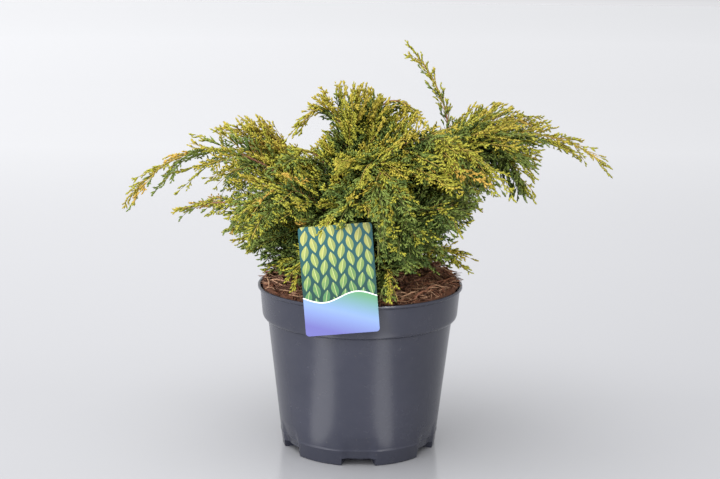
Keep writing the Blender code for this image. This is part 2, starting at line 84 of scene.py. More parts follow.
# %% Sizes
POT_HEIGHT = 0.2365
RIM_RADIUS = 0.1467
LIP_HEIGHT = 0.0032
BAND_RADIUS = 0.1405
BAND_FLARE = 0.0025
BAND_UNDERSIDE = 0.1885
BODY_TOP_RADIUS = 0.1324
BASE_RADIUS = 0.1115
WALL = 0.0022
FLOOR_TOP = 0.0125
FOOT_COUNT = 6
NOTCH_HALF_ANGLE = math.radians(12.2)
NOTCH_HEIGHT = 0.010
RECESS_TOP = 0.043
RECESS_DEPTH = 0.005
RECESS_EDGE = math.radians(4.5)
NOTCH_REACH = 0.084
MIX_CROWN = 0.2275
TRUNK_PAD = 0.020
TRUNK_TOP = 0.326
TRUNK_LEAN = np.array([-0.004, 0.003, 0.0])
ROOT_OFFSET = 0.005
CARD_WIDTH = 0.098
CARD_HEIGHT = 0.145
CARD_CORNER = 0.0045
CARD_TURN = math.radians(5.0)
CARD_LEAN = math.radians(8.0)
CARD_BOTTOM = Vector((-0.022, -0.1525, 0.2010))

PLUMES = (
    ("left_skirt", 0.243, (-0.090, 0.010, 0.292), (-0.155, 0.010, 0.300), 0.060),
    ("right_low", 0.243, (0.085, -0.030, 0.288), (0.138, -0.055, 0.288), 0.055),
    ("front_low_right", 0.243, (0.028, -0.085, 0.285), (0.040, -0.145, 0.262), 0.075),
    ("front_low_left", 0.245, (-0.055, -0.082, 0.295), (-0.088, -0.140, 0.262), 0.060),
    ("back_low", 0.243, (-0.050, 0.095, 0.305), (-0.085, 0.165, 0.285), 0.070),
    ("back_low_right", 0.244, (0.066, 0.090, 0.302), (0.118, 0.145, 0.280), 0.070),
    ("left_low", 0.260, (-0.135, -0.045, 0.350), (-0.259, -0.040, 0.343), 0.070),
    ("right_mid", 0.259, (0.100, -0.050, 0.350), (0.172, -0.062, 0.348), 0.065),
    ("back_right", 0.260, (0.095, 0.095, 0.385), (0.180, 0.175, 0.350), 0.080),
    ("back_left", 0.262, (-0.110, 0.090, 0.400), (-0.200, 0.160, 0.365), 0.080),
    ("front_mid", 0.262, (-0.010, -0.080, 0.358), (-0.002, -0.138, 0.362), 0.080),
    ("left_long", 0.273, (-0.185, -0.005, 0.424), (-0.342, -0.020, 0.339), 0.080),
    ("right_long", 0.275, (0.185, 0.012, 0.440), (0.350, 0.000, 0.406), 0.080),
    ("front_left", 0.281, (-0.085, -0.085, 0.380), (-0.150, -0.130, 0.355), 0.075),
    ("front_right", 0.272, (0.082, -0.098, 0.360), (0.130, -0.145, 0.335), 0.070),
    ("back", 0.279, (0.000, 0.110, 0.425), (0.010, 0.220, 0.365), 0.080),
    ("left_high", 0.294, (-0.095, 0.030, 0.410), (-0.155, 0.030, 0.462), 0.070),
    ("right_back", 0.289, (0.145, 0.078, 0.435), (0.265, 0.085, 0.467), 0.070),
    ("right_high", 0.291, (0.142, -0.028, 0.452), (0.231, -0.045, 0.360), 0.080),
    ("centre_left", 0.299, (-0.045, -0.035, 0.405), (-0.085, -0.055, 0.430), 0.065),
    ("front_nod", 0.296, (0.012, -0.085, 0.420), (0.040, -0.150, 0.361), 0.075),
    ("sweep_right", 0.312, (0.058, -0.070, 0.445), (0.177, -0.105, 0.412), 0.075),
    ("spike", 0.311, (0.122, 0.042, 0.430), (0.057, 0.050, 0.583), 0.045),
    ("front_inner", 0.284, (0.042, -0.082, 0.342), (0.075, -0.138, 0.325), 0.080),
    ("right_inner", 0.266, (0.085, 0.030, 0.345), (0.150, 0.050, 0.325), 0.070),
    ("left_inner", 0.2525, (-0.085, 0.040, 0.345), (-0.150, 0.070, 0.325), 0.070),
    ("mid_left", 0.313, (-0.034, -0.008, 0.474), (-0.095, -0.015, 0.452), 0.070),
    ("top", 0.317, (0.022, 0.040, 0.478), (0.088, 0.030, 0.468), 0.070),
)

# %% [markdown]
# ## Materials
# Shader maths is written as Python expressions on a small class that wraps a socket.
# Plastic, bark, mix and leaves each get their own pattern, at the scale of the real thing.

# %% Shader helpers
class Socket:
    """A shader output on which Python's operators add Math nodes."""

    def __init__(self, tree, output):
        self.tree = tree
        self.output = output

    def math(self, operation, *values):
        return self.tree.node("ShaderNodeMath", {"operation": operation}, {i: v for i, v in enumerate(values)})

    def __add__(self, other):
        return self.math("ADD", self, other)

    def __radd__(self, other):
        return self.math("ADD", other, self)

    def __sub__(self, other):
        return self.math("SUBTRACT", self, other)

    def __rsub__(self, other):
        return self.math("SUBTRACT", other, self)

    def __mul__(self, other):
        return self.math("MULTIPLY", self, other)

    def __rmul__(self, other):
        return self.math("MULTIPLY", other, self)

    def __abs__(self):
        return self.math("ABSOLUTE", self)

    def above(self, edge):
        return self.math("GREATER_THAN", self, edge)

    def below(self, edge):
        return self.math("LESS_THAN", self, edge)

    def fraction(self):
        return self.math("FRACT", self)

    def sine(self):
        return self.math("SINE", self)


class Tree:
    """A material's node tree."""

    def __init__(self, name):
        self.material = bpy.data.materials.new(name)
        self.material.use_nodes = True
        self.nodes = self.material.node_tree.nodes
        self.links = self.material.node_tree.links
        self.shader = self.nodes["Principled BSDF"]

    def feed(self, socket, value):
        if isinstance(value, Socket):
            self.links.new(value.output, socket)
        elif isinstance(value, tuple) and len(value) == 3 and socket.type == "RGBA":
            socket.default_value = (*value, 1.0)
        else:
            socket.default_value = value

    def node(self, kind, settings, values, output=0):
        made = self.nodes.new(kind)
        for name, value in settings.items():
            if name == "stops":
                set_stops(made.color_ramp, value)
            else:
                setattr(made, name, value)
        for name, value in values.items():
            self.feed(made.inputs[name], value)
        return Socket(self, made.outputs[output])

    def place(self):
        return self.node("ShaderNodeTexCoord", {}, {}, "Object")

    def noise(self, scale, detail=3.0, vector=None):
        return self.node("ShaderNodeTexNoise", {}, {"Vector": vector or self.place(), "Scale": scale, "Detail": detail})

    def mix(self, share, first, second):
        settings = {"data_type": "RGBA", "blend_type": "MIX"}
        return self.node("ShaderNodeMix", settings, {0: share, 6: first, 7: second}, 2)

    def bump(self, height, distance, strength=1.0):
        values = {"Height": height, "Distance": distance, "Strength": strength}
        return self.node("ShaderNodeBump", {}, values)

    def finish(self, **values):
        for name, value in values.items():
            self.feed(self.shader.inputs[name.replace("_", " ")], value)
        return self.material


def set_stops(ramp, stops):
    while len(ramp.elements) < len(stops):
        ramp.elements.new(1.0)
    for element, (position, colour) in zip(ramp.elements, stops):
        element.position = position
        element.color = (*colour, 1.0)


# %% Materials
LEAF_CELL_WIDTH = 0.0120
LEAF_CELL_HEIGHT = 0.0200


def pot_plastic():
    tree = Tree("pot_plastic")
    smear = tree.noise(11.0, 5.0)
    dust = tree.noise(60.0, 8.0)
    grain = tree.noise(900.0, 2.0)
    specks = tree.noise(420.0, 1.0).above(0.74)
    colour = tree.mix(smear, (0.016, 0.018, 0.031), (0.036, 0.038, 0.057))
    colour = tree.mix(dust * 0.45, colour, (0.046, 0.048, 0.062))
    colour = tree.mix(specks * 0.5, colour, (0.085, 0.080, 0.080))
    rough = 0.18 + smear * 0.08 + dust * 0.08
    return tree.finish(Base_Color=colour, Roughness=rough, Normal=tree.bump(grain + dust, 0.0003, 0.20))


def leaf(name, first, second):
    tree = Tree(name)
    patch = tree.noise(70.0, 2.0)
    fleck = tree.noise(600.0, 1.0)
    colour = tree.mix(patch, first, second)
    return tree.finish(Base_Color=colour, Roughness=0.45 + fleck * 0.25, Specular_IOR_Level=0.22)


def bark():
    tree = Tree("bark")
    ridge = tree.noise(260.0, 6.0)
    colour = tree.mix(ridge, (0.055, 0.028, 0.016), (0.24, 0.13, 0.07))
    return tree.finish(Base_Color=colour, Roughness=0.85, Normal=tree.bump(ridge, 0.001, 0.8))


def shoot_bark(name, first, second):
    tree = Tree(f"shoot_bark_{name}")
    ridge = tree.noise(180.0, 4.0)
    colour = tree.mix(ridge, first, second)
    return tree.finish(Base_Color=colour, Roughness=0.7, Normal=tree.bump(ridge, 0.0004, 0.6))


def earth(name, first, second):
    tree = Tree(name)
    clod = tree.noise(160.0, 6.0)
    colour = tree.mix(clod, first, second)
    return tree.finish(Base_Color=colour, Roughness=0.9, Normal=tree.bump(clod, 0.002, 0.8))


def label_print():
    """Rows of plain almond leaves over a soft gradient, parted from it by one pale wave."""
    tree = Tree("label_print")
    place = tree.place()
    x = tree.node("ShaderNodeSeparateXYZ", {}, {"Vector": place}, 0)
    y = tree.node("ShaderNodeSeparateXYZ", {}, {"Vector": place}, 1)
    stops = [(0.0, (0.13, 0.13, 0.38)), (0.20, (0.21, 0.31, 0.56)), (0.42, (0.11, 0.29, 0.15))]
    ground = tree.node("ShaderNodeValToRGB", {"stops": stops}, {"Fac": y * (1 / CARD_HEIGHT) + x * 2.2})
    column = x * (1 / LEAF_CELL_WIDTH)
    odd = (column * 0.5).fraction().above(0.5)
    across = column.fraction() - 0.5
    along = (y * (1 / LEAF_CELL_HEIGHT) + odd * 0.5).fraction() - 0.5
    slant = across + along * (0.7 * odd - 0.35)
    leafy = (0.40 - along * along * 1.6 - abs(slant)).above(0.0)
    rib = abs(slant).below(0.025) * leafy
    tint = y * (1 / CARD_HEIGHT) + tree.noise(90.0, 2.0, place) * 0.5 - 0.25
    stops = [(0.35, (0.08, 0.21, 0.08)), (0.60, (0.25, 0.34, 0.10)), (0.90, (0.41, 0.41, 0.12))]
    leaves = tree.node("ShaderNodeValToRGB", {"stops": stops}, {"Fac": tint})
    dark_side = tree.mix(slant.above(0.0) * 0.35, leaves, (0.02, 0.12, 0.05))
    stops = [(0.35, (0.010, 0.050, 0.042)), (1.0, (0.018, 0.105, 0.120))]
    shade = tree.node("ShaderNodeValToRGB", {"stops": stops}, {"Fac": y * (1 / CARD_HEIGHT)})
    panel = tree.mix(leafy, shade, dark_side)
    panel = tree.mix(rib * 0.6, panel, (0.75, 0.75, 0.35))
    wave = (x * 70.0).sine() * 0.006 + CARD_HEIGHT * 0.34
    colour = tree.mix(y.above(wave), ground, panel)
    colour = tree.mix(abs(y - wave).below(0.0008), colour, (0.85, 0.88, 0.86))
    return tree.finish(Base_Color=colour, Roughness=0.20, Coat_Weight=0.3)


GOLD, LIME, MID, DEEP, BRONZE = range(5)
LEAF_COLOURS = (
    ("gold", (0.345, 0.287, 0.032), (0.475, 0.386, 0.056)),
    ("lime", (0.283, 0.285, 0.030), (0.412, 0.382, 0.050)),
    ("mid", (0.129, 0.186, 0.036), (0.214, 0.262, 0.059)),
    ("deep", (0.056, 0.095, 0.022), (0.112, 0.165, 0.038)),
    ("bronze", (0.42, 0.26, 0.044), (0.55, 0.37, 0.070)),
)
SHOOT_COLOURS = {
    "golden": ((0.35, 0.22, 0.044), (0.50, 0.38, 0.075)),
    "green": ((0.090, 0.105, 0.026), (0.19, 0.19, 0.045)),
    "brown": ((0.16, 0.065, 0.035), (0.34, 0.16, 0.085)),
}
leaf_materials = [leaf(f"leaf_{name}", first, second) for name, first, second in LEAF_COLOURS]
print("leaf materials:", len(leaf_materials))

# %% [markdown]
# ## Meshes from arrays
# Foliage is made of many small things, so whole meshes are built at once from arrays of points.

# %% Mesh helpers
pieces = []


def add_piece(name, mesh, material, replaced=()):
    mesh.materials.clear()
    mesh.materials.append(material)
    obj = bpy.data.objects.new(name, mesh)
    bpy.context.scene.collection.objects.link(obj)
    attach(obj, "root")
    if replaced:
        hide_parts(*replaced)
    pieces.append(obj)
    return obj


def array_mesh(name, points, faces, smooth=True):
    """A mesh from an array of points and an array of triangles or quads."""
    mesh = bpy.data.meshes.new(name)
    sides = faces.shape[1]
    mesh.vertices.add(len(points))
    mesh.vertices.foreach_set("co", points.astype(np.float32).ravel())
    mesh.loops.add(faces.size)
    mesh.loops.foreach_set("vertex_index", faces.astype(np.int32).ravel())
    mesh.polygons.add(len(faces))
    mesh.polygons.foreach_set("loop_start", np.arange(len(faces), dtype=np.int32) * sides)
    mesh.update(calc_edges=True)
    if smooth:
        mesh.shade_smooth()
    return mesh


def tube_arrays(points, radii, sides):
    """Points and quads of a tapering tube along points."""
    points = np.asarray(points, float)
    heads = np.gradient(points, axis=0)
    heads /= np.linalg.norm(heads, axis=1, keepdims=True)
    up = np.array([0.0, 0.0, 1.0]) if abs(heads[0, 2]) < 0.9 else np.array([0.0, 1.0, 0.0])
    rings = []
    side = np.cross(up, heads[0])
    for point, head, radius in zip(points, heads, radii):
        side = side - head * side.dot(head)
        side /= np.linalg.norm(side)
        angles = np.arange(sides) * math.tau / sides
        ring = np.outer(np.cos(angles), side) + np.outer(np.sin(angles), np.cross(head, side))
        rings.append(point + ring * radius)
    grid = np.arange(len(points) * sides).reshape(len(points), sides)
    near, far = grid[:-1], grid[1:]
    quads = np.stack([near, np.roll(near, -1, 1), np.roll(far, -1, 1), far], -1).reshape(-1, 4)
    return np.concatenate(rings), quads


def joined(parts):
    """One pair of arrays from many."""
    offset = 0
    points, faces = [], []
    for part_points, part_faces in parts:
        points.append(part_points)
        faces.append(part_faces + offset)
        offset += len(part_points)
    return np.concatenate(points), np.concatenate(faces)


# %% [markdown]
# ## Pot
# The real pot is moulded polypropylene, so it is turned from one profile with rounded edges. Its feet
# are cut out as the mould does: a drainage notch and a recess above it, six times round.

# %% Pot
def body_radius(height):
    return BASE_RADIUS + (BODY_TOP_RADIUS - BASE_RADIUS) * height / BAND_UNDERSIDE


def pot_profile():
    inside = [
        (0.0, FLOOR_TOP),
        (body_radius(NOTCH_HEIGHT) - RECESS_DEPTH - WALL, FLOOR_TOP),
        (body_radius(RECESS_TOP + 0.003) - WALL, RECESS_TOP + 0.003),
        (BODY_TOP_RADIUS - WALL, BAND_UNDERSIDE + 0.0015),
        (BAND_RADIUS - WALL, BAND_UNDERSIDE + 0.0095),
        (BAND_RADIUS + BAND_FLARE - WALL, POT_HEIGHT - 0.008),
        (RIM_RADIUS - 0.0035, POT_HEIGHT - 0.0005),
    ]
    outside = [
        (RIM_RADIUS - 0.0028, POT_HEIGHT),
        (RIM_RADIUS - 0.0008, POT_HEIGHT),
        (RIM_RADIUS - 0.0002, POT_HEIGHT - 0.0003),
        (RIM_RADIUS, POT_HEIGHT - 0.0009),
        (RIM_RADIUS, POT_HEIGHT - LIP_HEIGHT),
        (RIM_RADIUS - 0.0005, POT_HEIGHT - LIP_HEIGHT - 0.0006),
        (BAND_RADIUS + BAND_FLARE + 0.0002, POT_HEIGHT - 0.0062),
        (BAND_RADIUS + BAND_FLARE, POT_HEIGHT - 0.0085),
        (BAND_RADIUS, BAND_UNDERSIDE + 0.0095),
        (BAND_RADIUS - 0.0004, BAND_UNDERSIDE + 0.0055),
        (BAND_RADIUS - 0.0015, BAND_UNDERSIDE + 0.0025),
        (BAND_RADIUS - 0.0032, BAND_UNDERSIDE + 0.0006),
        (BAND_RADIUS - 0.0050, BAND_UNDERSIDE),
        (BODY_TOP_RADIUS + 0.0012, BAND_UNDERSIDE - 0.0004),
        (BODY_TOP_RADIUS, BAND_UNDERSIDE - 0.0016),
        *[(body_radius(height), height) for height in np.arange(0.050, 0.0228, -0.0025)],
        (body_radius(0.0228), 0.0228),
        (body_radius(0.0220) + 0.0005, 0.0220),
        (body_radius(0.0212) + 0.0005, 0.0212),
        (body_radius(0.0200), 0.0200),
        (BASE_RADIUS, 0.0018),
        (BASE_RADIUS - 0.0005, 0.0005),
        (BASE_RADIUS - 0.0018, 0.0),
        (0.0, 0.0),
    ]
    return inside + outside


def press_recesses(mesh):
    """Hollow the outer wall above each notch, with soft edges as the mould leaves them."""
    for vertex in mesh.vertices:
        x, y, z = vertex.co
        radius = math.hypot(x, y)
        if z > RECESS_TOP or radius < BASE_RADIUS - 0.006:
            continue
        turn = (math.atan2(y, x) + math.pi / 2) * FOOT_COUNT / math.tau
        angle = abs(turn - round(turn)) * math.tau / FOOT_COUNT
        edge = min(1.0, max(0.0, (NOTCH_HALF_ANGLE - angle) / RECESS_EDGE))
        rise = min(1.0, (RECESS_TOP - z) / (RECESS_TOP - NOTCH_HEIGHT))
        depth = RECESS_DEPTH * edge * edge * (3 - 2 * edge) * rise
        vertex.co.x *= 1 - depth / radius
        vertex.co.y *= 1 - depth / radius


def wedge(inner_low, inner_high, outer, low, high):
    """A ring segment as wide as a notch, with its inner wall leaning between two radii."""
    bm = bmesh.new()
    steps = 12
    rings = []
    for height, inner in ((low, inner_low), (high, inner_high)):
        for radius in (inner, outer):
            angles = [NOTCH_HALF_ANGLE * (2 * i / steps - 1) for i in range(steps + 1)]
            rings.append([bm.verts.new((radius * math.cos(a), radius * math.sin(a), height)) for a in angles])
    low_in, low_out, high_in, high_out = rings
    for first, second in ((low_in, low_out), (low_out, high_out), (high_out, high_in), (high_in, low_in)):
        for i in range(steps):
            bm.faces.new((first[i], first[i + 1], second[i + 1], second[i]))
    for end in (0, steps):
        bm.faces.new((low_in[end], low_out[end], high_out[end], high_in[end]))
    bmesh.ops.recalc_face_normals(bm, faces=bm.faces)
    mesh = bpy.data.meshes.new("wedge")
    bm.to_mesh(mesh)
    bm.free()
    return mesh


def make_pot():
    profile = pot_profile()
    mesh = bpy.data.meshes.new("pot_fine")
    mesh.from_pydata([(r, 0.0, z) for r, z in profile], [(i, i + 1) for i in range(len(profile) - 1)], [])
    pot = add_piece("pot_fine", mesh, pot_plastic(), ("pot",))
    screw = pot.modifiers.new("turn", "SCREW")
    screw.steps = screw.render_steps = 180
    screw.use_merge_vertices = True
    screw.merge_threshold = 1e-5
    cutters = bpy.data.collections.new("pot_cutters")
    bpy.context.scene.collection.children.link(cutters)
    reach = BASE_RADIUS + 0.02
    for index in range(FOOT_COUNT):
        turn = Matrix.Rotation(-math.pi / 2 + index * math.tau / FOOT_COUNT, 4, "Z")
        mesh = wedge(NOTCH_REACH, NOTCH_REACH, reach, -0.004, NOTCH_HEIGHT)
        mesh.transform(turn)
        cutters.objects.link(bpy.data.objects.new("pot_cutter", mesh))
    cut = pot.modifiers.new("feet", "BOOLEAN")
    cut.operation = "DIFFERENCE"
    cut.operand_type = "COLLECTION"
    cut.collection = cutters
    cut.solver = "EXACT"
    bpy.context.view_layer.update()
    made = bpy.data.meshes.new_from_object(pot.evaluated_get(bpy.context.evaluated_depsgraph_get()))
    pot.modifiers.clear()
    pot.data = made
    press_recesses(made)
    made.shade_smooth()
    made.set_sharp_from_angle(angle=math.radians(35))
    for cutter in list(cutters.objects):
        bpy.data.objects.remove(cutter, do_unlink=True)
    bpy.data.collections.remove(cutters)
    return pot


pot = make_pot()
print("pot faces:", len(pot.data.polygons))

# %% [markdown]
# ## Potting mix
# The mix is bark and coir: a lumpy bed, with loose fibres and chips strewn over it.

# %% Mix
HUMP_HEIGHT = 0.020


def heap(x, y):
    radius = np.hypot(x, y)
    rise = 0.6 + 0.4 * np.sin(np.arctan2(y, np.abs(x)))
    hump = np.sin(np.minimum(1.0, radius / 0.115) * math.pi / 2) * rise * HUMP_HEIGHT
    lumps = 0.0022 * np.sin(70 * x + 1.3) * np.cos(63 * y - 0.7) + 0.0014 * np.sin(131 * x - 95 * y)
    level = np.clip((radius - TRUNK_PAD) / 0.015, 0.0, 1.0)
    return MIX_CROWN + (hump + lumps) * level


def make_bed():
    rings, steps = 60, 160
    radii = np.linspace(0.0, 0.1402, rings)
    angles = np.arange(steps) * math.tau / steps
    x = np.outer(radii, np.cos(angles))
    y = np.outer(radii, np.sin(angles))
    crumbs = rng.normal(0.0, 0.0013, x.shape) + 0.0018 * np.sin(410 * x) * np.sin(377 * y)
    z = heap(x, y) + crumbs
    z[-1] -= 0.006
    points = np.stack([x, y, z], -1).reshape(-1, 3)
    grid = np.arange(rings * steps).reshape(rings, steps)
    near, far = grid[:-1], grid[1:]
    quads = np.stack([near, far, np.roll(far, -1, 1), np.roll(near, -1, 1)], -1).reshape(-1, 4)
    mesh = array_mesh("mix_bed", points, quads)
    return add_piece("mix_bed", mesh, earth("mix_earth", (0.040, 0.015, 0.008), (0.19, 0.075, 0.036)), ("potting_mix",))


def somewhere():
    """A random place on the bed and how far out it lies, from 0 to 1."""
    share = math.sqrt(rng.random())
    angle = rng.random() * math.tau
    return 0.136 * share * math.cos(angle), 0.136 * share * math.sin(angle), share


def strands(count):
    """Coir and bark fibres, bent sideways and arching out of the bed."""
    parts = []
    steps = np.linspace(-0.5, 0.5, 7)
    for _ in range(count):
        x, y, share = somewhere()
        turn = rng.random() * math.tau
        length = rng.uniform(0.012, 0.048)
        along = np.array([math.cos(turn), math.sin(turn)])
        across = np.array([-along[1], along[0]])
        bend = rng.uniform(-1.1, 1.1)
        flat = np.outer(steps, along) + np.outer(steps ** 2 * bend, across)
        flat = flat * length + (x, y)
        lift = rng.random() ** 1.5 * (0.003 + 0.013 * share ** 3)
        arch = rng.uniform(-0.2, 0.5) * length * (0.25 - steps ** 2)
        z = heap(flat[:, 0], flat[:, 1]) + np.maximum(lift + arch + steps * rng.uniform(-0.25, 0.25) * length, 0.0)
        reach = np.hypot(flat[:, 0], flat[:, 1])
        if np.any((reach > 0.1395) & (z < POT_HEIGHT + 0.0015)) or reach.max() > 0.1480:
            continue
        radii = rng.uniform(0.00040, 0.00125) * np.array([0.5, 0.9, 1.1, 1.0, 1.1, 0.8, 0.4])
        parts.append(tube_arrays(np.column_stack([flat, z]), radii, 3))
    return joined(parts)


def chips(count):
    """Flakes of bark: thin six-cornered slabs lying every way."""
    top = [(0, i, i + 1) for i in range(1, 5)]
    under = [(6, 6 + i + 1, 6 + i) for i in range(1, 5)]
    walls = []
    for i in range(6):
        walls += [(i, 6 + i, (i + 1) % 6), ((i + 1) % 6, 6 + i, 6 + (i + 1) % 6)]
    faces = np.array(top + under + walls)
    parts = []
    for _ in range(count):
        x, y, share = somewhere()
        length, width = rng.uniform(0.005, 0.017), rng.uniform(0.002, 0.006)
        angles = (np.arange(6) + rng.uniform(-0.35, 0.35, 6)) * math.tau / 6
        ring = np.column_stack([np.cos(angles) * length / 2, np.sin(angles) * width / 2])
        slab = np.vstack([np.column_stack([ring, np.full(6, half)]) for half in (0.0007, -0.0007)])
        turn = Matrix.Rotation(rng.random() * math.tau, 3, "Z") @ Matrix.Rotation(rng.normal(0.0, 0.35), 3, "Y")
        slab = slab @ np.array(turn @ Matrix.Rotation(rng.normal(0.0, 0.5), 3, "X")).T
        lift = rng.random() ** 2 * (0.002 + 0.006 * share ** 3)
        middle = np.array([x, y, heap(x, y) + 0.001 + lift])
        if math.hypot(x, y) + length / 2 < 0.1385:
            parts.append((slab + middle, faces))
    return joined(parts)


bed = make_bed()
STRAND_COLOURS = {
    "tan": ((0.27, 0.14, 0.080), (0.54, 0.32, 0.19)),
    "red": ((0.160, 0.062, 0.035), (0.38, 0.170, 0.090)),
    "dark": ((0.055, 0.023, 0.014), (0.18, 0.078, 0.044)),
}
for name, (first, second) in STRAND_COLOURS.items():
    mesh = array_mesh(f"strands_{name}", *strands(1200))
    add_piece(f"strands_{name}", mesh, earth(f"strand_{name}", first, second))
flakes = array_mesh("chips", *chips(900))
add_piece("chips", flakes, earth("bark_chip", (0.07, 0.026, 0.014), (0.26, 0.10, 0.05)))
print("mix laid, its highest chip at", round(max(v.co.z for v in flakes.vertices), 3))

# %% [markdown]
# ## Stem and boughs
# One short stem inside the foliage carries a limb for each plume. Their tubes get ridged bark.

# %% Arches
def trunk_axis(height):
    share = (height - MIX_CROWN) / (TRUNK_TOP - MIX_CROWN)
    return np.array([0.0, 0.0, height]) + TRUNK_LEAN * share * share


def plume_path(plume, t):
    """Points on the arch from the trunk through the half-way point to the tip."""
    _, root, middle, tip, _ = plume
    middle = np.array(middle)
    end = np.array(tip)
    outward = np.array([middle[0], middle[1], 0.0])
    start = trunk_axis(root) + outward / np.linalg.norm(outward) * ROOT_OFFSET
    pull = 2 * middle - (start + end) / 2
    t = np.atleast_1d(t)[:, None]
    return start * (1 - t) ** 2 + pull * 2 * t * (1 - t) + end * t * t


def ridged(points, radii, sides, depth):
    """A tube whose bark stands out in ridges along it."""
    ring_points, quads = tube_arrays(points, radii, sides)
    centres = np.repeat(np.asarray(points), sides, axis=0)
    away = ring_points - centres
    ridge = 1.0 + depth * np.tile(np.cos(np.arange(sides) * math.pi), len(radii))
    ridge *= 1.0 + rng.normal(0.0, depth * 0.5, len(ridge))
    return centres + away * ridge[:, None], quads


def make_wood():
    shares = np.array([0.0, 0.04, 0.10, 0.20, 0.45, 0.70, 0.90, 1.0])
    radii = np.array([0.0150, 0.0132, 0.0112, 0.0100, 0.0092, 0.0084, 0.0074, 0.0050])
    fine = np.linspace(0.0, 1.0, 40)
    axis = np.array([trunk_axis(MIX_CROWN - 0.002 + (TRUNK_TOP - MIX_CROWN) * share) for share in fine])
    parts = [ridged(axis, np.interp(fine, shares, radii), 24, 0.06)]
    for plume in PLUMES:
        steps = np.linspace(0.0, 0.30, 14)
        parts.append(ridged(plume_path(plume, steps), np.linspace(0.0030, 0.0019, 14), 12, 0.08))
    nodes = ["trunk"] + [f"bough_{plume[0]}" for plume in PLUMES]
    return add_piece("stem_and_boughs", array_mesh("stem_and_boughs", *joined(parts)), bark(), nodes)


wood = make_wood()
print("wood faces:", len(wood.data.polygons))

# %% [markdown]
# ## Foliage
# A juniper's shoots branch again and again: each plume has side branches, each branch has sprigs on
# both sides, and each sprig is a little comb of scale-covered twigs. The rule is the solids' own,
# carried three steps further. Golden tints go to the tips and the top, where the plant is gold in the
# sun. Deeper greens go inside and below, partly its own green in shade and partly painted shade.

# %% Sprig
TWIG_RADIUS = 0.00148
TWIG_SPACING = 0.0042
SPRIG_LENGTHS = (0.011, 0.016, 0.022, 0.030)
SPRIG_KINDS = 4
YOUNG, OLD = 0.0090, 0.0160


def scale_twig(root, reach, radius):
    """A scale twig: a slim double pyramid from root along reach, widest past its middle, so its end is blunt."""
    head = reach / np.linalg.norm(reach)
    side = np.cross(head, [0.0, 0.0, 1.0])
    side /= np.linalg.norm(side)
    up = np.cross(side, head)
    angles = np.arange(3) * math.tau / 3
    ring = np.outer(np.cos(angles), side) + np.outer(np.sin(angles), up)
    points = np.vstack([root, root + reach * 0.62 + ring * radius, root + reach])
    faces = [(0, 1 + (i + 1) % 3, 1 + i) for i in range(3)]
    faces += [(4, 1 + i, 1 + (i + 1) % 3) for i in range(3)]
    return points, np.array(faces)


def sprig_template(length, longest, seed):
    """One sprig: an axis with scale twigs that point forward, first on one side, then on the other."""
    draw = np.random.default_rng(seed)
    twigs = [scale_twig(np.zeros(3), np.array([length, 0.0, 0.0]), TWIG_RADIUS)]
    for index in range(int(length / TWIG_SPACING)):
        place = TWIG_SPACING * (index + 0.5)
        side = 1 if index % 2 else -1
        reach = min(longest, 0.0046 + 0.50 * (length - place)) * draw.uniform(0.8, 1.2)
        angle = math.radians(draw.uniform(22, 40))
        tilt = draw.uniform(-0.5, 0.5)
        way = np.array([math.cos(angle), side * math.sin(angle), tilt * math.sin(angle)])
        twigs.append(scale_twig(np.array([place, 0.0, 0.0]), way * reach, TWIG_RADIUS))
    return joined(twigs)


TEMPLATES = []
for number, length in enumerate(SPRIG_LENGTHS):
    ages = (YOUNG, YOUNG, OLD, OLD)
    TEMPLATES.append([sprig_template(length, longest, 10 * number + kind) for kind, longest in enumerate(ages)])
print("faces of the sprigs:", [len(kinds[0][1]) for kinds in TEMPLATES])

